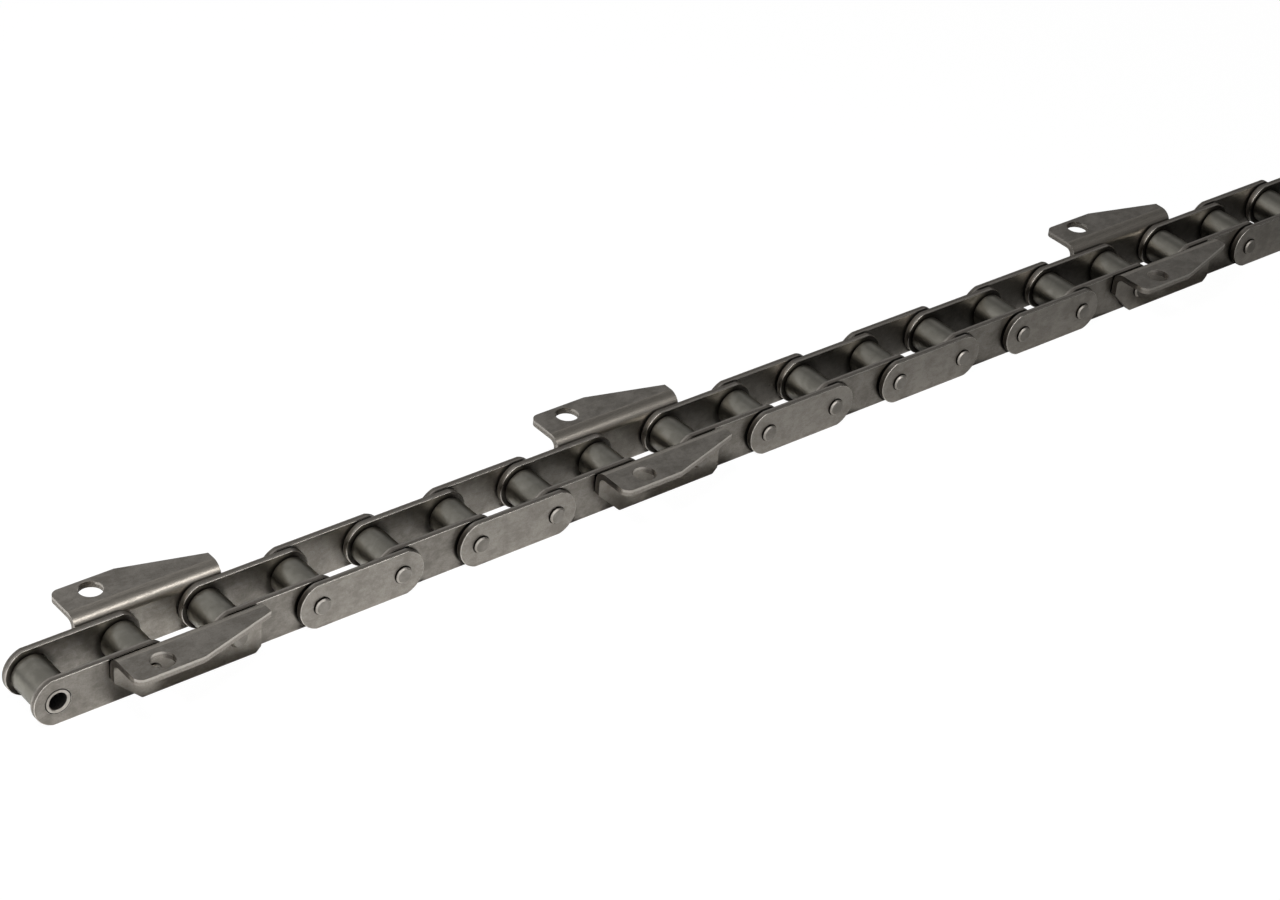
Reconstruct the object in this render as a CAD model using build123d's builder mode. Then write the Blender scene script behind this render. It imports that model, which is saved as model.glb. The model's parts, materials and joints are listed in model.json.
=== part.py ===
"""Conveyor roller chain with bent wing attachments, built link by link.

+X runs along the chain, +Y across it and +Z up. The origin is the middle of the first bush,
on the axis where the chain is joined to its neighbour. All sizes are in millimetres.

Inner links are two plates pressed onto two bushes, with a free roller on each bush. Outer links
are two plates pressed onto two pins that turn inside the bushes. Some outer links carry wings:
their plates are longer, and are folded outwards along the top into a drilled flange for a slat.
"""

import os

from build123d import *

# the chain
pitch = 41.4
inner_link_count = 10
attachment_links = (1, 4, 8)

# plates, all cut from the same strip
plate_thickness = 3.1
plate_height = 22.4
plate_end_reach = 11.0
plate_end_bulge = 0.4

# pins, bushes and rollers
inner_width = 20.24
pin_diameter = 8.0
pin_proud = 1.5
pin_end_chamfer = 0.7
bush_diameter = 11.7
bush_proud = 0.15
bush_chamfer = 0.35
roller_diameter = 17.78
roller_chamfer = 0.6

# clearances; the radial ones are per side
pin_clearance = 0.06
roller_clearance = 0.09
roller_end_gap = 0.2
link_side_gap = 0.55

# wing attachments, measured from the link's first and second pin and from the web's outer face
wing_first_overhang = 17.8
wing_second_overhang = 11.0
flange_height = 14.4
flange_reach = 19.1
flange_straight = 31.2
flange_tip_reach = 7.6
flange_corner_radius = 4.2
flange_tip_radius = 1.6
flange_hole_diameter = 11.0
flange_hole_inset = 15.9
flange_hole_setback = 11.73
bend_inside_radius = 3.2
web_slope_length = 12.8
web_slope_height = 12.8
web_corner_chamfer = 2.7
web_corner_radius = 1.5

# distances out from the chain's centre plane
inner_plate_face = inner_width / 2
bush_end = inner_plate_face + plate_thickness + bush_proud
outer_plate_face = bush_end + link_side_gap
web_outer_face = outer_plate_face + plate_thickness
pin_end = web_outer_face + pin_proud
flange_edge = web_outer_face + flange_reach

roller_bore = bush_diameter + 2 * roller_clearance
bush_bore = pin_diameter + 2 * pin_clearance
roller_length = inner_width - 2 * roller_end_gap
wing_length = wing_first_overhang + pitch + wing_second_overhang


def side_plane(pin_x, distance):
    """A plane facing -Y, that far out from the centre plane, with its origin on a pin's axis."""
    return Plane(origin=(pin_x, -distance, 0), x_dir=(1, 0, 0), z_dir=(0, -1, 0))


def save(piece, name):
    """Label a finished piece and write it as its own STEP file."""
    piece.label = name
    export_step(piece, f"parts/{name}.step")


def link_plates(first_pin_x, face, hole_diameter, name):
    """Two straight-sided plates with rounded ends, one each side, bored for two bushes or pins."""
    plate_length = pitch + 2 * plate_end_reach
    end_radius = plate_height / 2 + plate_end_bulge
    with BuildPart() as plates:
        with BuildSketch(side_plane(first_pin_x, face)):
            with Locations((pitch / 2, 0)):
                SlotOverall(plate_length, 2 * end_radius)
                Rectangle(plate_length, plate_height, mode=Mode.INTERSECT)
            with Locations((0, 0), (pitch, 0)):
                Circle(hole_diameter / 2, mode=Mode.SUBTRACT)
        extrude(amount=plate_thickness)
        mirror(about=Plane.XZ)
    save(plates.part, name)


def wing_plates(first_pin_x, name):
    """Two attachment plates: a web bored for the pins, folded out along its top into a flange.

    A strip with the folded section is cut to the web's outline from the side and to the
    flange's outline from above, as the flat blank was before it was bent.
    """
    left = first_pin_x - wing_first_overhang
    right = left + wing_length
    bottom = -plate_height / 2
    flange_underside = flange_height - plate_thickness
    with BuildPart() as wings:
        with BuildSketch(Plane.YZ.offset(left)):
            with BuildLine():
                upper_skin = FilletPolyline(
                    (-outer_plate_face, bottom),
                    (-outer_plate_face, flange_height),
                    (-flange_edge, flange_height),
                    radius=bend_inside_radius + plate_thickness,
                )
                Line(upper_skin @ 1, (-flange_edge, flange_underside))
                lower_skin = FilletPolyline(
                    (-flange_edge, flange_underside),
                    (-web_outer_face, flange_underside),
                    (-web_outer_face, bottom),
                    radius=bend_inside_radius,
                )
                Line(lower_skin @ 1, upper_skin @ 0)
            make_face()
        extrude(amount=wing_length)

        with BuildSketch(side_plane(first_pin_x, outer_plate_face)) as web_outline:
            with BuildLine():
                Polyline(
                    (-wing_first_overhang, flange_height),
                    (-wing_first_overhang, bottom + web_slope_height),
                    (web_slope_length - wing_first_overhang, bottom),
                    (pitch + wing_second_overhang - web_corner_chamfer, bottom),
                    (pitch + wing_second_overhang, bottom + web_corner_chamfer),
                    (pitch + wing_second_overhang, flange_height),
                    close=True,
                )
            make_face()
            lower_corners = web_outline.vertices().sort_by(Axis.Y)[0:4]
            fillet(lower_corners, radius=web_corner_radius)
            with Locations((0, 0), (pitch, 0)):
                Circle(pin_diameter / 2, mode=Mode.SUBTRACT)
        extrude(amount=flange_edge - outer_plate_face, mode=Mode.INTERSECT)

        with BuildSketch(Plane.XY.offset(bottom)) as flange_outline:
            with BuildLine():
                Polyline(
                    (left, -outer_plate_face),
                    (left, -flange_edge),
                    (left + flange_straight, -flange_edge),
                    (right, -web_outer_face - flange_tip_reach),
                    (right, -outer_plate_face),
                    close=True,
                )
            make_face()
            outer_corners = flange_outline.vertices().group_by(Axis.X)
            fillet(outer_corners[0].sort_by(Axis.Y)[0], radius=flange_corner_radius)
            fillet(outer_corners[-1].sort_by(Axis.Y)[0], radius=flange_tip_radius)
            with Locations((left + flange_hole_inset, -web_outer_face - flange_hole_setback)):
                Circle(flange_hole_diameter / 2, mode=Mode.SUBTRACT)
        extrude(amount=flange_height - bottom, mode=Mode.INTERSECT)
        mirror(about=Plane.XZ)
    save(wings.part, name)


def link_pins(first_pin_x, name):
    """The two pins of an outer link, pressed through both of its plates."""
    with BuildPart() as pins:
        with BuildSketch(side_plane(first_pin_x, -pin_end)):
            with Locations((0, 0), (pitch, 0)):
                Circle(pin_diameter / 2)
        extrude(amount=2 * pin_end)
        chamfer(pins.edges().filter_by(GeomType.CIRCLE), length=pin_end_chamfer)
    save(pins.part, name)


def link_bushes(first_pin_x, name):
    """The two bushes of an inner link, pressed through both of its plates."""
    with BuildPart() as bushes:
        with BuildSketch(side_plane(first_pin_x, -bush_end)):
            with Locations((0, 0), (pitch, 0)):
                Circle(bush_diameter / 2)
                Circle(bush_bore / 2, mode=Mode.SUBTRACT)
        extrude(amount=2 * bush_end)
        chamfer(bushes.edges().filter_by(GeomType.CIRCLE), length=bush_chamfer)
    save(bushes.part, name)


def free_roller(pin_x, name):
    """A roller that spins freely on its bush, between the inner plates."""
    with BuildPart() as roller:
        with BuildSketch(side_plane(pin_x, -roller_length / 2)):
            Circle(roller_diameter / 2)
            Circle(roller_bore / 2, mode=Mode.SUBTRACT)
        extrude(amount=roller_length)
        rims = roller.edges().filter_by(GeomType.CIRCLE).sort_by(SortBy.RADIUS)
        chamfer(rims[-2:], length=roller_chamfer)
    save(roller.part, name)


os.makedirs("parts", exist_ok=True)

for number in range(1, inner_link_count + 1):
    link_x = 2 * (number - 1) * pitch
    link_plates(link_x, inner_plate_face, bush_diameter, f"inner_plates_{number:02d}")
    link_bushes(link_x, f"bushes_{number:02d}")
    free_roller(link_x, f"roller_{2 * number - 1:02d}")
    free_roller(link_x + pitch, f"roller_{2 * number:02d}")

for number in range(1, inner_link_count):
    link_x = (2 * number - 1) * pitch
    if number in attachment_links:
        wing_plates(link_x, f"wing_plates_{number:02d}")
    else:
        link_plates(link_x, outer_plate_face, pin_diameter, f"outer_plates_{number:02d}")
    link_pins(link_x, f"pins_{number:02d}")
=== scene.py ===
import json
import math

import bmesh
import bpy
from mathutils import Matrix, Vector
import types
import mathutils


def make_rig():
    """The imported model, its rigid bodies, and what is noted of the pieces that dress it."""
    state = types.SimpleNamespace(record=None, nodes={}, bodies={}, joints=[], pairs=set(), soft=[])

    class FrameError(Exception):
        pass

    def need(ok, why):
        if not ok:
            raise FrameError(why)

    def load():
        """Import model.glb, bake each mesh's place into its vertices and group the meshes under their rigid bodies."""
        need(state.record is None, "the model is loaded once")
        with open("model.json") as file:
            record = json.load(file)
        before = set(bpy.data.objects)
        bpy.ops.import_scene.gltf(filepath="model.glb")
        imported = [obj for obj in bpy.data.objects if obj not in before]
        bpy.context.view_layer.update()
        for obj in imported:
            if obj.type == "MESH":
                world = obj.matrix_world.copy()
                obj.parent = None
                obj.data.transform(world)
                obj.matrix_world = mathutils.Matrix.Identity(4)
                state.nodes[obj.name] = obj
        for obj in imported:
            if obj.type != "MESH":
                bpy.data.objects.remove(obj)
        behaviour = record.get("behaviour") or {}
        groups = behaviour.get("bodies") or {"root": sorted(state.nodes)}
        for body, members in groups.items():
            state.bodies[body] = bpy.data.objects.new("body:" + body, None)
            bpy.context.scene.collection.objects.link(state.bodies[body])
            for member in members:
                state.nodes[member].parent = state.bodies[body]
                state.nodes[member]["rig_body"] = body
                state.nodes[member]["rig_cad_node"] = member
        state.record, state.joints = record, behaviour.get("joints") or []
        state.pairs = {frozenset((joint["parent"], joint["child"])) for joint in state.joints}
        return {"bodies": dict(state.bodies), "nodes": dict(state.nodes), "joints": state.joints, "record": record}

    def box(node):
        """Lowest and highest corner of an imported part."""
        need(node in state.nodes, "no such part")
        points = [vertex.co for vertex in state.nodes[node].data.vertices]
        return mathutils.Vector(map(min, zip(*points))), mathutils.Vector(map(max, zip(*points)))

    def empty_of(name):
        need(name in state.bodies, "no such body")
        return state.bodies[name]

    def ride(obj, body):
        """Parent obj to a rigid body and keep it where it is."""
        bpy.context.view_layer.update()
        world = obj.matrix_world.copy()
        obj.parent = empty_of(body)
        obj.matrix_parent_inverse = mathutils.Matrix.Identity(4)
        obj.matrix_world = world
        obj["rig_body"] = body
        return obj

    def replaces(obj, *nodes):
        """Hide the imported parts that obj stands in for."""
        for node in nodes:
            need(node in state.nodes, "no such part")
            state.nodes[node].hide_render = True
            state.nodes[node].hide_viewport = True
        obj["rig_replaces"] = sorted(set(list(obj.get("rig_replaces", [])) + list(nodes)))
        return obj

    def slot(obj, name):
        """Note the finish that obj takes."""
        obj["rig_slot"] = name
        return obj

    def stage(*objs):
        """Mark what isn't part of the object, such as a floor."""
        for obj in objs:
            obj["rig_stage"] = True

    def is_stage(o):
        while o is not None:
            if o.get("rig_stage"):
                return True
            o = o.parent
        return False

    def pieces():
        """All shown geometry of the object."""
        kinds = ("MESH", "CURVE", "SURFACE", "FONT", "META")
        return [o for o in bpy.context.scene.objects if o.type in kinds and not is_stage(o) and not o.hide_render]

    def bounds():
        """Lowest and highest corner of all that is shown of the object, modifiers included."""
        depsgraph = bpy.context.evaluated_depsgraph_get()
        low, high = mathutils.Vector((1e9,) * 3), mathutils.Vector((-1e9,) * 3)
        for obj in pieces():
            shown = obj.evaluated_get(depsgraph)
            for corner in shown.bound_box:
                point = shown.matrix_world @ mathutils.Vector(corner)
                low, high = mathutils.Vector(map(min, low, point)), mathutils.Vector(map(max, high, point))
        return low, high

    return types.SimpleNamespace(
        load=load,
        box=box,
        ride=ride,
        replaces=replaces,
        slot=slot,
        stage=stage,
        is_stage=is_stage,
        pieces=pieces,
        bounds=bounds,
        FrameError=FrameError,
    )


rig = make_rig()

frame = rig.load()
cad_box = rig.bounds()

# the pieces' sizes are in millimetres, and MM turns them into metres
MM = 0.001
PITCH = 41.4
PLATE_THICKNESS = 3.1

# how far the sharp corners are rubbed round, and the turn from which a corner counts as sharp
PLATE_ROUNDING = 0.32
WING_ROUNDING = 0.42
TURNED_ROUNDING = 0.12
SHARP_CORNER = math.radians(28)

# distances out from the chain's centre plane
inner_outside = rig.box("inner_plates_01")[1].y / MM
inner_face = inner_outside - PLATE_THICKNESS
outer_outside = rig.box("outer_plates_02")[1].y / MM
outer_face = outer_outside - PLATE_THICKNESS
flange_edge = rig.box("wing_plates_01")[1].y / MM

# heights above the pins' axes, which for round pieces are their radii
flange_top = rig.box("wing_plates_01")[1].z / MM
web_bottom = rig.box("wing_plates_01")[0].z / MM
bush_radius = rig.box("bushes_02")[1].z / MM
pin_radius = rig.box("pins_02")[1].z / MM

# places along the chain
last_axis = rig.box("bushes_10")[1].x / MM - bush_radius
wing_ends = [
    (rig.box(name)[0].x / MM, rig.box(name)[1].x / MM)
    for name in ("wing_plates_01", "wing_plates_04", "wing_plates_08")
]

# oil, grease and dirt where they lie, painted shade in the gaps, on cut ends and round the rollers, and steel that a
# scratch lays bare
PAINTED_SHADE_UNDER_LINK = (0.03, 0.027, 0.023, 1)
HOLE_OIL = (0.03, 0.027, 0.024, 1)
CORNER_OIL_AND_SHADE = (0.04, 0.035, 0.03, 1)
PAINTED_EDGE_SHADE = (0.055, 0.047, 0.04, 1)
SEAM_OIL = (0.06, 0.055, 0.05, 1)
ROLLER_GREASE_AND_SHADE = (0.05, 0.046, 0.04, 1)
EDGE_DIRT = (0.15, 0.13, 0.11, 1)
BARE_STEEL = (0.50, 0.47, 0.43, 1)

# a depth that lies outside every plate
NO_GAP = -9.0

# the places of a piece's finishes in its list of materials
FACE, SIDE, CORNER, BEND = range(4)


class Signal:
    """One value inside a material. Sums and products of it add the Math nodes they need."""

    def __init__(self, finish, socket):
        self.finish = finish
        self.socket = socket

    def output(self, name):
        """Another output of the node that this value comes from."""
        return Signal(self.finish, self.socket.node.outputs[name])

    def maths(self, operation, *terms):
        return self.finish.node("Math", {"operation": operation}, terms)

    def at_most(self, other):
        return self.maths("MINIMUM", self, other)

    def at_least(self, other):
        return self.maths("MAXIMUM", self, other)

    def __add__(self, other):
        return self.maths("ADD", self, other)

    __radd__ = __add__

    def __sub__(self, other):
        return self.maths("SUBTRACT", self, other)

    def __rsub__(self, other):
        return self.maths("SUBTRACT", other, self)

    def __mul__(self, other):
        return self.maths("MULTIPLY", self, other)

    __rmul__ = __mul__

    def __truediv__(self, other):
        return self.maths("DIVIDE", self, other)

    def __pow__(self, other):
        return self.maths("POWER", self, other)

    def __abs__(self):
        return self.maths("ABSOLUTE", self)

    def __round__(self):
        return self.maths("ROUND", self)


class Finish:
    """The node tree of one material or of the studio's surroundings."""

    def __init__(self, tree):
        self.tree = tree
        tree.nodes.clear()

    def node(self, kind, settings=None, sockets=(), output=0):
        """Add a node: its settings first, then the values or links of its sockets."""
        made = self.tree.nodes.new("ShaderNode" + kind)
        for name, value in (settings or {}).items():
            setattr(made, name, value)
        pairs = sockets.items() if isinstance(sockets, dict) else enumerate(sockets)
        for key, value in pairs:
            if isinstance(value, Signal):
                self.tree.links.new(value.socket, made.inputs[key])
            else:
                made.inputs[key].default_value = value
        return Signal(self, made.outputs[output]) if made.outputs else None

    def place(self):
        """Where a point is on the resting chain, in millimetres."""
        metres = self.node("TexCoord", output="Object")
        return self.node(
            "VectorMath", {"operation": "SCALE"}, {"Vector": metres, "Scale": 1 / MM})

    def split(self, vector):
        """How far it goes along the chain, across it to the back, and upwards."""
        along = self.node("SeparateXYZ", {}, [vector])
        return along, along.output("Y"), along.output("Z")

    def stretched(self, place, scale):
        """The same place with each axis scaled, for marks that are longer one way."""
        return self.node("VectorMath", {"operation": "MULTIPLY"}, [place, scale])

    def noise(self, place, per_mm, detail=3.0, roughness=0.55, distortion=0.0):
        return self.node("TexNoise", {"noise_dimensions": "3D"}, {
            "Vector": place, "Scale": per_mm, "Detail": detail,
            "Roughness": roughness, "Distortion": distortion,
        })

    def band(self, value, low, high):
        """0 below low, 1 above high and a soft step between them."""
        return self.node("MapRange", {"interpolation_type": "SMOOTHSTEP"}, {
            "Value": value, "From Min": low, "From Max": high, "To Min": 0.0, "To Max": 1.0,
        })

    def mix(self, share, first, second):
        """The first colour, with that share of it given over to the second."""
        return self.node(
            "Mix", {"data_type": "RGBA", "clamp_factor": True},
            {"Factor": share, 6: first, 7: second}, output=2,
        )

    def bump(self, height, depth_mm, below=None):
        """Relief of that depth, laid over the relief below it where there is one."""
        sockets = {"Height": height, "Strength": 1.0, "Distance": depth_mm * MM}
        if below is not None:
            sockets["Normal"] = below
        return self.node("Bump", {}, sockets)


def darker(colour, share):
    """A colour at that share of its brightness."""
    return tuple(share * part for part in colour[:3]) + (1,)


def new_finish(name):
    material = bpy.data.materials.new(name)
    material.use_nodes = True
    return material, Finish(material.node_tree)


def steel(finish, colour, roughness, normal):
    shader = finish.node("BsdfPrincipled", {}, {
        "Base Color": colour, "Metallic": 1.0, "Roughness": roughness, "Normal": normal,
    })
    finish.node("OutputMaterial", {}, [shader])


def round_axis(f, place):
    """Distance from the axis of the nearest pin, seen along the pin."""
    along, _, height = f.split(place)
    from_pin = along - round(along / PITCH) * PITCH
    return (from_pin * from_pin + height * height) ** 0.5


def shade_under_next_link(f, place, from_axis):
    """1 where the next link's plate or wing lies against an inner plate, for the painted shade in the gap between
    them.

    There is no next link at the chain's two open ends, and a wing's web covers the inner plate
    only above its sloped corner.
    """
    along, across, height = f.split(place)
    outwards = abs(across)
    in_gap = f.band(outwards, inner_outside - 0.45, inner_outside - 0.3)
    in_gap = in_gap * (1 - f.band(outwards, outer_face + 0.3, outer_face + 0.45))
    linked = f.band(along, 14.0, 18.0) * (1 - f.band(along, last_axis - 18.0, last_axis - 14.0))
    covered = (1 - f.band(from_axis, 11.3, 12.4)) * linked
    above_slope = f.band(height, 1.4, 2.0)
    for first_end, second_end in wing_ends:
        covered = covered + above_slope * f.band(along, first_end - 0.3, first_end + 0.3) * (
            1 - f.band(along, second_end - 0.3, second_end + 0.3))
    return in_gap * covered.at_most(1.0)


def rolled_skin(name, light, dark, brown, seam_radius, roller_face=None):
    """Rolled, blanked and oiled plate: cloudy tone, faint scratches, a fine open grain.

    Oil has crept out of the seam round the bush or pin that is pressed through it. On a plate that a roller runs
    against, grease and painted shade darken it round the roller's end, and on the plate's outward side painted shade
    darkens it in the gap under the next link.
    """
    material, f = new_finish(name)
    place = f.place()
    from_axis = round_axis(f, place)
    clouds = f.noise(place, 0.11, detail=4.0, roughness=0.6, distortion=0.4)
    smears = f.noise(
        f.stretched(place, (0.55, 1.0, 1.0)), 0.5, detail=4.0, roughness=0.62, distortion=0.5)
    grain = f.noise(place, 2.6, roughness=0.7)
    specks = f.noise(place, 1.3, detail=2.0, roughness=0.5)
    scratch_along = f.noise(
        f.stretched(place, (0.06, 1.0, 1.0)), 3.4, detail=1.0, roughness=0.5, distortion=0.15)
    scratch_up = f.noise(
        f.stretched(place, (1.0, 1.0, 0.09)), 2.1, detail=1.0, roughness=0.5, distortion=0.3)
    scratches = f.band(scratch_along, 0.68, 0.76) + f.band(scratch_up, 0.70, 0.77) * 0.6
    tone = f.band(0.6 * clouds + 0.4 * smears, 0.36, 0.64)
    seam = 1 - f.band(from_axis, seam_radius + 0.12, seam_radius + 0.7)
    colour = f.mix(tone, dark, light)
    colour = f.mix(f.band(grain, 0.42, 0.62) * 0.35, colour, brown)
    colour = f.mix((1 - f.band(specks, 0.28, 0.36)) * 0.5, colour, brown)
    colour = f.mix(scratches * 0.18, colour, BARE_STEEL)
    colour = f.mix(seam * 0.8, colour, SEAM_OIL)
    if roller_face is not None:
        _, across, _ = f.split(place)
        by_roller = 1 - f.band(abs(across), roller_face + 0.4, roller_face + 0.8)
        spread = 1 - f.band(from_axis + 1.5 * (clouds - 0.5), 9.4, 12.6)
        # grease, and painted shade round the roller's end
        colour = f.mix(by_roller * spread * 0.72, colour, ROLLER_GREASE_AND_SHADE)
        # painted shade: the outward skin is darkened in the gap under the next link
        colour = f.mix(shade_under_next_link(f, place, from_axis) * 0.93, colour, PAINTED_SHADE_UNDER_LINK)
    roughness = 0.32 + 0.12 * (1 - tone) + 0.10 * (grain - 0.5) - 0.06 * scratches
    flatness = f.noise(place, 0.16, detail=2.0, roughness=0.5)
    pits = grain * 0.7 + f.band(specks, 0.28, 0.40) * 0.6
    normal = f.bump(pits - scratches * 0.4, 0.014, f.bump(flatness, 0.12))
    steel(f, colour, roughness, normal)
    return material


def sheared_edge(name, depth_of, light, dull, gap_depth, front_limit, back_limit):
    """The cut edge of a blanked plate: a burnished band by one face, a torn grey one below it.

    Painted shade darkens it at the depth of the gap beside the neighbouring plate, and most on the ends that face
    along the chain, as far to the front and to the back of the chain's centre plane as the two limits say.
    """
    material, f = new_finish(name)
    place = f.place()
    depth = depth_of(f, place)
    waver = f.noise(place, 0.5, detail=2.0, roughness=0.6)
    torn = f.band(depth + 0.9 * (waver - 0.5), 1.05, 1.45)
    speckle = f.noise(place, 4.2, roughness=0.75)
    drag = f.noise(f.stretched(place, (1.0, 0.12, 1.0)), 3.0, detail=2.0, roughness=0.5)
    facing_along, _, _ = f.split(f.node("TexCoord", output="Normal"))
    _, backwards, _ = f.split(place)
    on_end = f.band(abs(facing_along), 0.35, 0.85)
    # painted shade on the cut ends that face along the chain and in a line by the gap
    painted_end_shade = on_end * (1 - f.band(backwards, back_limit, back_limit + 3.0))
    painted_end_shade = painted_end_shade * (1 - f.band(0 - backwards, front_limit, front_limit + 3.0))
    painted_gap_shade = 1 - f.band(abs(depth - gap_depth), 0.2, 0.8)
    oil = (painted_end_shade * 0.75).at_least(painted_gap_shade * 0.65)
    colour = f.mix(torn, light, dull)
    colour = f.mix(f.band(speckle, 0.46, 0.62) * (0.25 + 0.45 * torn), colour, EDGE_DIRT)
    colour = f.mix(oil, colour, PAINTED_EDGE_SHADE)
    roughness = 0.30 + 0.22 * torn + 0.14 * (speckle - 0.5)
    normal = f.bump(speckle * (0.3 + 1.0 * torn) + drag * 0.35, 0.03)
    steel(f, colour, roughness, normal)
    return material


def worn_corner(name, bright):
    """Corners rubbed bright by handling, dark with oil at the holes' rims and with painted shade in the gap under the
    next link.
    """
    material, f = new_finish(name)
    place = f.place()
    patches = f.noise(place, 0.55, roughness=0.6)
    fine = f.noise(place, 3.2, detail=2.0, roughness=0.6)
    rubbed = f.band(0.6 * patches + 0.4 * fine, 0.38, 0.60)
    from_axis = round_axis(f, place)
    hole_rim = 1 - f.band(from_axis, 6.0, 6.15)
    # oil at the holes' rims, and painted shade in the gap under the next link
    oil = (shade_under_next_link(f, place, from_axis) * 0.93).at_least(hole_rim * 0.85)
    colour = f.mix(oil, f.mix(rubbed, darker(bright, 0.68), bright), CORNER_OIL_AND_SHADE)
    steel(f, colour, 0.25 - 0.06 * rubbed, f.bump(fine, 0.008))
    return material


def bent_skin(name, light, dull):
    """The outside of the fold, stretched and burnished where the die rubbed it, finely pitted; its lighter colour is
    partly a painted highlight.
    """
    material, f = new_finish(name)
    place = f.place()
    rubs = f.noise(f.stretched(place, (0.12, 1.0, 1.0)), 1.6, roughness=0.6, distortion=0.2)
    pits = f.noise(place, 2.7, roughness=0.72)
    burnished = f.band(0.5 * rubs + 0.5 * pits, 0.40, 0.58)
    steel(f, f.mix(burnished, dull, light), 0.35 - 0.05 * burnished, f.bump(pits, 0.020))
    return material


def turned(
        name, light, dark, roughness_level, ring_depth=0.010, grain_share=0.3, seam_radius=None):
    """Turned and hardened round stock: rings from the tool round the axis, cloudy oil over them.

    Beyond seam_radius it dips into the plate's hole, where the oil has stayed.
    """
    material, f = new_finish(name)
    place = f.place()
    from_axis = round_axis(f, place)
    _, across, _ = f.split(place)
    rings = f.noise(
        f.node("CombineXYZ", {}, [from_axis, across, 0.0]), 5.5, detail=2.0, roughness=0.6)
    clouds = f.noise(place, 0.14, detail=4.0, roughness=0.6, distortion=0.3)
    grain = f.noise(place, 2.8, roughness=0.7)
    tone = f.band(clouds, 0.36, 0.64)
    colour = f.mix(tone, dark, light)
    colour = f.mix(f.band(grain, 0.5, 0.68) * grain_share, colour, darker(dark, 0.5))
    if seam_radius is not None:
        in_hole = f.band(from_axis, seam_radius - 0.1, seam_radius)
        colour = f.mix(in_hole * 0.9, colour, HOLE_OIL)
    roughness = roughness_level + 0.07 * (1 - tone) + 0.08 * (rings - 0.5)
    steel(f, colour, roughness, f.bump(rings + 0.5 * grain, ring_depth))
    return material


def greased_bore(name):
    """Old grease in a bush: nearly black, half matt."""
    material, f = new_finish(name)
    lumps = f.noise(f.place(), 1.4, roughness=0.6)
    colour = f.mix(
        f.band(lumps, 0.4, 0.65), (0.012, 0.011, 0.010, 1), (0.035, 0.031, 0.027, 1))
    shader = f.node("BsdfPrincipled", {}, {
        "Base Color": colour, "Metallic": 0.0, "Roughness": 0.45 + 0.2 * lumps,
        "Normal": f.bump(lumps, 0.05),
    })
    f.node("OutputMaterial", {}, [shader])
    return material


def web_depth(inward_face):
    """Depth into a plate that stands on edge, from its inward face."""
    def depth(f, place):
        _, across, _ = f.split(place)
        return abs(across) - inward_face
    return depth


def wing_depth(f, place):
    """Depth from a wing's upper skin: sideways through the web, downwards through the flange."""
    _, across, height = f.split(place)
    through_web = abs(across) - outer_face
    return through_web.at_most(flange_top - height)


plate_corner = worn_corner("worn plate corners", (0.74, 0.698, 0.637, 1))
wing_corner = worn_corner("worn wing corners", (0.90, 0.85, 0.775, 1))

# the inner plates' skin is darker than the outer plates' as painted shade of their recess between the outer plates
inner_skin = rolled_skin(
    "inner plate skin", (0.345, 0.322, 0.294, 1), (0.24, 0.223, 0.20, 1), (0.18, 0.16, 0.133, 1),
    seam_radius=bush_radius, roller_face=inner_face)
outer_skin = rolled_skin(
    "outer plate skin", (0.42, 0.393, 0.359, 1), (0.31, 0.288, 0.26, 1), (0.21, 0.187, 0.158, 1),
    seam_radius=pin_radius)
wing_skin = rolled_skin(
    "wing skin", (0.425, 0.395, 0.358, 1), (0.305, 0.283, 0.253, 1), (0.20, 0.178, 0.147, 1),
    seam_radius=pin_radius)
# the fold is lighter than the wing skin: burnishing, and partly a painted highlight
wing_bend = bent_skin("wing bend", (0.50, 0.46, 0.405, 1), (0.38, 0.349, 0.306, 1))

# the ends of inner plates get no painted shade and those of outer plates do; a wing's ends get it on the front wing,
# up to the outer part of its flange, and show no line of painted shade by the gap
inner_edge = sheared_edge(
    "inner plate cut edge", web_depth(inner_face), (0.42, 0.391, 0.354, 1),
    (0.31, 0.286, 0.255, 1), gap_depth=PLATE_THICKNESS, front_limit=0.0, back_limit=0.0)
outer_edge = sheared_edge(
    "outer plate cut edge", web_depth(outer_face), (0.42, 0.391, 0.354, 1),
    (0.31, 0.286, 0.255, 1), gap_depth=0.0, front_limit=outer_outside, back_limit=outer_outside)
wing_edge = sheared_edge(
    "wing cut edge", wing_depth, (0.56, 0.525, 0.48, 1), (0.42, 0.39, 0.352, 1),
    gap_depth=NO_GAP, front_limit=flange_edge - 8.0, back_limit=0.0)

pin_end = turned(
    "pin end", (0.34, 0.318, 0.29, 1), (0.25, 0.232, 0.208, 1), 0.34, grain_share=0.2)
# the pin's side is nearly black: oil, and painted shade round the pin's proud head
pin_side_oil_and_shade = turned("pin side", (0.07, 0.064, 0.056, 1), (0.035, 0.031, 0.027, 1), 0.40)
pin_chamfer = turned("pin chamfer", (0.56, 0.525, 0.48, 1), (0.42, 0.39, 0.352, 1), 0.42)
bush_steel = turned(
    "bush steel", (0.60, 0.565, 0.52, 1), (0.46, 0.43, 0.39, 1), 0.30, grain_share=0.2,
    seam_radius=bush_radius - 0.28)
bush_bore = greased_bore("greased bore")
roller_steel = turned(
    "roller steel", (0.34, 0.325, 0.285, 1), (0.285, 0.272, 0.237, 1), 0.31, ring_depth=0.0025,
    grain_share=0.10)


def plate_zone(face):
    """SIDE for a plate's cut edge and its holes, FACE for its two skins."""
    return SIDE if abs(face.normal.y) < 0.5 else FACE


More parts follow.
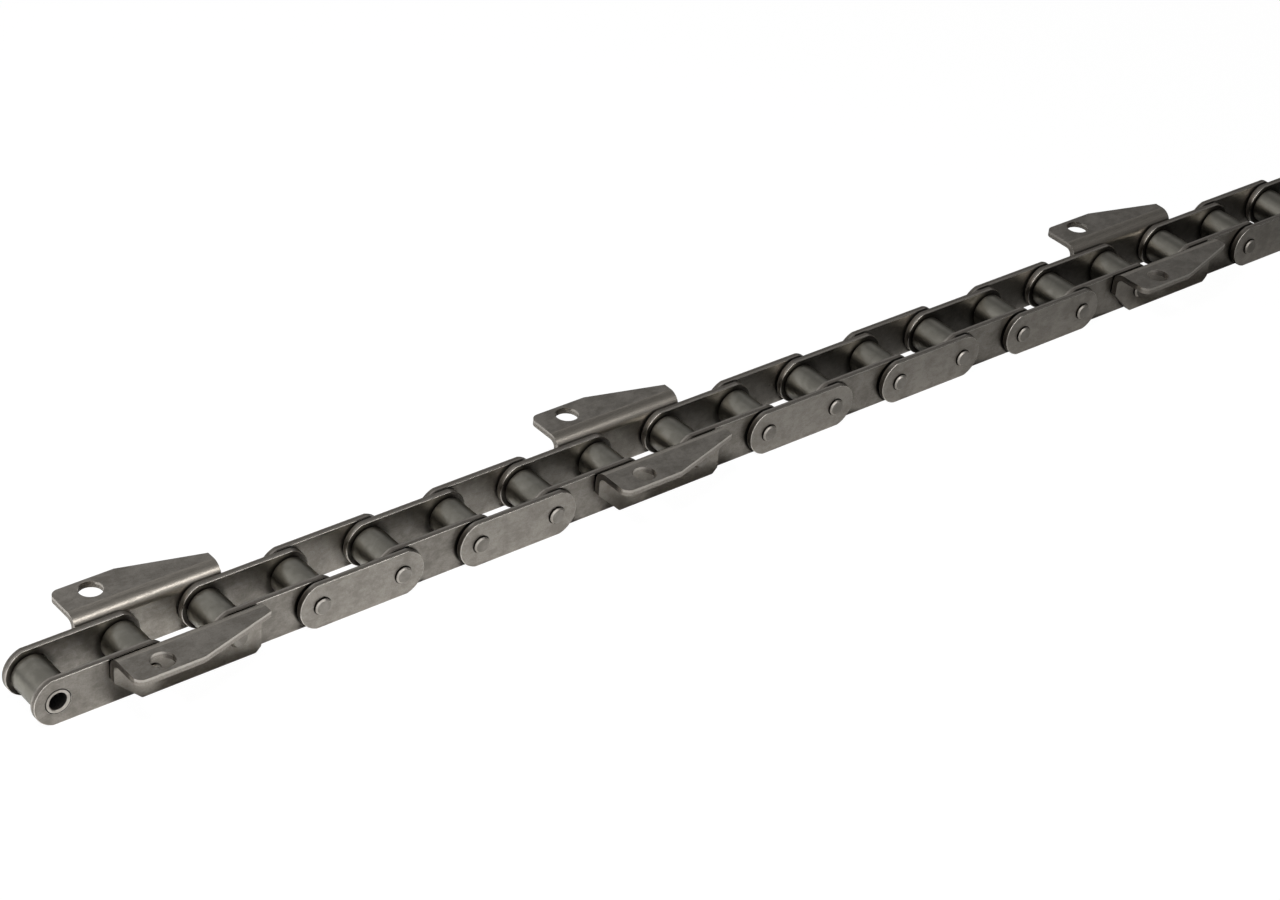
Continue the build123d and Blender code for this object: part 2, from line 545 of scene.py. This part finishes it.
def wing_zone(face):
    """SIDE for a wing's cut edges and holes, BEND outside its fold, FACE for its other skins."""
    middle, normal = face.calc_center_median() / MM, face.normal
    if abs(normal.x) > 0.3:
        return SIDE
    if normal.z > 0.05 and abs(normal.y) > 0.05:
        return BEND
    if middle.z < web_bottom + 0.05 and normal.z < -0.9:
        return SIDE
    on_flange = abs(middle.y) > outer_outside + 3.0
    return SIDE if on_flange and abs(normal.z) < 0.3 else FACE


def pin_zone(face):
    """FACE for a pin's two ends, SIDE for its side, CORNER for the chamfer between them."""
    facing = abs(face.normal.y)
    return FACE if facing > 0.9 else SIDE if facing < 0.3 else CORNER


def bush_zone(face):
    """SIDE for the bore, which faces its own axis, and FACE for the rest of a bush."""
    middle = face.calc_center_median() / MM
    from_axis = Vector((middle.x - round(middle.x / PITCH) * PITCH, 0.0, middle.z))
    return SIDE if from_axis.dot(face.normal) < 0 and abs(face.normal.y) < 0.3 else FACE


def roller_zone(face):
    return FACE


# for each kind of piece: its slot, its finishes in zone order, its zones and its rounding
FINISHES = {
    "inner_plates": (
        "inner_plate_steel", (inner_skin, inner_edge, plate_corner), plate_zone, PLATE_ROUNDING),
    "outer_plates": (
        "outer_plate_steel", (outer_skin, outer_edge, plate_corner), plate_zone, PLATE_ROUNDING),
    "wing_plates": (
        "wing_steel", (wing_skin, wing_edge, wing_corner, wing_bend), wing_zone, WING_ROUNDING),
    "pins": ("pin_steel", (pin_end, pin_side_oil_and_shade, pin_chamfer), pin_zone, TURNED_ROUNDING),
    "bushes": ("bush_steel", (bush_steel, bush_bore, bush_steel), bush_zone, TURNED_ROUNDING),
    "roller": ("roller_steel", (roller_steel,) * 3, roller_zone, TURNED_ROUNDING),
}


def deburred(node_name, materials, zone, rounding):
    """A copy of a CAD piece with its sharp corners rubbed round and its zones told apart."""
    form = bmesh.new()
    form.from_mesh(frame["nodes"][node_name].data)
    bmesh.ops.remove_doubles(form, verts=form.verts, dist=1e-6)
    bmesh.ops.recalc_face_normals(form, faces=form.faces)
    for face in form.faces:
        face.smooth = True
        face.material_index = zone(face)
    corners = [
        edge for edge in form.edges
        if len(edge.link_faces) == 2 and edge.calc_face_angle() > SHARP_CORNER
    ]
    bmesh.ops.bevel(
        form, geom=corners, offset=rounding * MM, offset_type="OFFSET", segments=2, profile=0.5,
        affect="EDGES", clamp_overlap=True, loop_slide=False, material=CORNER,
    )
    mesh = bpy.data.meshes.new(node_name + "_deburred")
    form.to_mesh(mesh)
    form.free()
    for material in materials:
        mesh.materials.append(material)
    piece = bpy.data.objects.new(node_name + "_deburred", mesh)
    bpy.context.collection.objects.link(piece)
    flat_faces = piece.modifiers.new("flat faces stay flat", "WEIGHTED_NORMAL")
    flat_faces.mode = "FACE_AREA"
    flat_faces.weight = 60
    flat_faces.keep_sharp = False
    return piece


def dress_chain():
    """Give every plate, wing, pin, bush and roller its finished surface, on its own link."""
    for body, nodes in frame["record"]["behaviour"]["bodies"].items():
        for node_name in nodes:
            kind = node_name.rsplit("_", 1)[0]
            slot, materials, zone, rounding = FINISHES[kind]
            piece = deburred(node_name, materials, zone, rounding)
            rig.ride(piece, body)
            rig.slot(piece, slot)
            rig.replaces(piece, node_name)


def camera():
    """A long lens above and in front of the chain's first end, tipped a little to one side."""
    position = Vector((-0.47229, -0.90167, 0.79286))
    azimuth, elevation, roll = (math.radians(angle) for angle in (40.906, 33.493, 4.711))
    forward = Vector((
        math.sin(azimuth) * math.cos(elevation),
        math.cos(azimuth) * math.cos(elevation),
        -math.sin(elevation),
    ))
    level = forward.cross(Vector((0, 0, 1))).normalized()
    upright = level.cross(forward)
    right = math.cos(roll) * level + math.sin(roll) * upright
    up = math.cos(roll) * upright - math.sin(roll) * level
    data = bpy.data.cameras.new("camera")
    data.sensor_width = 36
    data.lens = 87.816
    data.clip_start = 0.05
    data.clip_end = 30
    viewer = bpy.data.objects.new("camera", data)
    viewer.matrix_world = Matrix((
        (right.x, up.x, -forward.x, position.x),
        (right.y, up.y, -forward.y, position.y),
        (right.z, up.z, -forward.z, position.z),
        (0, 0, 0, 1),
    ))
    bpy.context.collection.objects.link(viewer)
    bpy.context.scene.camera = viewer


def area_lamp(name, position, aim, size, watts):
    data = bpy.data.lights.new(name, "AREA")
    data.shape = "RECTANGLE"
    data.size, data.size_y = size
    data.energy = watts
    lamp = bpy.data.objects.new(name, data)
    lamp.location = position
    facing = Vector(aim) - Vector(position)
    lamp.rotation_euler = facing.to_track_quat("-Z", "Y").to_euler()
    lamp.visible_camera = False
    bpy.context.collection.objects.link(lamp)
    return lamp


def softbox(name, position, aim, size, watts):
    """A diffuser that lights the floor. The steel mirrors the lit floor but not the lamp itself."""
    area_lamp(name, position, aim, size, watts).visible_glossy = False


def bright_card(name, position, aim, size, watts):
    """A glowing card that the steel mirrors, set so that it throws no light on the floor."""
    area_lamp(name, position, aim, size, watts).visible_diffuse = False


def surroundings():
    """A white sweep behind the chain, and a dimmer room round it for the steel to mirror."""
    world = bpy.data.worlds.new("studio")
    world.use_nodes = True
    bpy.context.scene.world = world
    f = Finish(world.node_tree)
    seen = f.node("LightPath", output="Is Camera Ray")
    mirrored = seen.output("Is Glossy Ray") + seen.output("Is Transmission Ray")
    rightwards, backwards, upwards = f.split(f.node("TexCoord", output="Generated"))
    frontwards = f.band(0 - backwards, 0.0, 0.6)
    overhead = f.band(upwards, 0.76, 0.94)

    low_left = (1 - f.band(rightwards, 0.58, 0.80)) * (1 - f.band(upwards, 0.60, 0.80))
    back_wall = 0.12 + 0.24 * low_left
    front_wall = 0.27 * (1 - f.band(rightwards, 0.35, 0.7))
    front_wall = front_wall + 0.55 * (1 - f.band(rightwards, -0.5, 0.1))
    low_right = f.band(rightwards, 0.57, 0.66) * (1 - f.band(upwards, 0.30, 0.55))
    front_wall = front_wall + 0.14 * (1 - 0.8 * low_right)
    room = back_wall * (1 - frontwards) + front_wall * frontwards + 0.13 * overhead

    ambient = 0.03
    scattered = (1 - seen) * (1 - f.band(mirrored, 0.4, 0.6))
    strength = (seen + mirrored * room).at_most(1.0) + scattered * ambient
    background = f.node("Background", {}, {"Color": (1, 1, 1, 1), "Strength": strength})
    f.node("OutputWorld", {}, [background])


def pale_floor():
    """A pale floor under the chain: white to the eye, with only the chain's soft shadow on it.

    Close under the chain a painted shadow darkens it from the first end on, and the steel mirrors it whiter before
    that end, where a painted reflection makes it glow for mirrored rays.
    """
    radius, middle_x = 9.0, 0.4
    mesh = bpy.data.meshes.new("floor")
    form = bmesh.new()
    bmesh.ops.create_circle(form, cap_ends=True, segments=96, radius=radius)
    for vertex in form.verts:
        vertex.co.z = cad_box[0].z
        vertex.co.x += middle_x
    form.to_mesh(mesh)
    form.free()
    material, f = new_finish("pale floor")
    seen = f.node("LightPath", output="Is Camera Ray")
    along, across, _ = f.split(f.place())
    # painted shadow: the floor's colour is darkened close under the chain
    painted_shadow_under_chain = (1 - f.band(abs(across), 9.0, 15.0)) * f.band(along, 60.0, 520.0)
    paper_with_painted_shadow = f.mix(painted_shadow_under_chain * 0.75, (0.80, 0.80, 0.79, 1), (0.02, 0.02, 0.02, 1))
    lit = f.node("BsdfDiffuse", {}, {"Color": paper_with_painted_shadow})
    white = f.node("Emission", {}, {"Color": (1, 1, 1, 1), "Strength": 1.07})
    # painted reflection: before the chain's first end the floor glows whiter for mirrored rays only
    painted_reflection_before_chain = 1 - f.band(along, -45.0, -12.0)
    whiteness = seen * 0.92 + seen.output("Is Glossy Ray") * painted_reflection_before_chain * 0.5
    shown = f.node("MixShader", {}, [whiteness, lit, white])
    f.node("OutputMaterial", {}, [shown])
    mesh.materials.append(material)
    floor = bpy.data.objects.new("floor", mesh)
    bpy.context.collection.objects.link(floor)
    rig.stage(floor)


camera()
dress_chain()
surroundings()
pale_floor()
softbox("main softbox", (-0.02, -0.11, 0.66), (0.02, -0.02, 0.0), size=(0.22, 0.20), watts=4.4)
softbox("left softbox", (-0.80, -0.35, 0.75), (0.0, -0.02, 0.0), size=(0.45, 0.40), watts=1.5)
bright_card("front strip", (0.36, -0.72, 0.60), (0.10, 0.0, 0.0), size=(0.75, 0.22), watts=1.75)
bright_card("near card", (-0.50, -0.62, 0.68), (0.15, 0.0, 0.0), size=(0.36, 0.36), watts=1.1)
bright_card("back card", (-0.05, 0.85, 0.78), (0.0, 0.0, 0.0), size=(1.1, 0.35), watts=0.36)
bright_card("top card", (0.15, 0.50, 0.95), (0.1, 0.0, 0.0), size=(1.0, 0.50), watts=0.30)
bright_card("left card", (-0.60, 0.90, 0.50), (0.0, 0.0, 0.0), size=(0.7, 0.45), watts=0.4)

bpy.context.scene.view_settings.view_transform = "Standard"
visual_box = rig.bounds()
with open("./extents.json", "w") as sizes:
    json.dump({"cad": [list(c) for c in cad_box], "visual": [list(c) for c in visual_box]}, sizes)
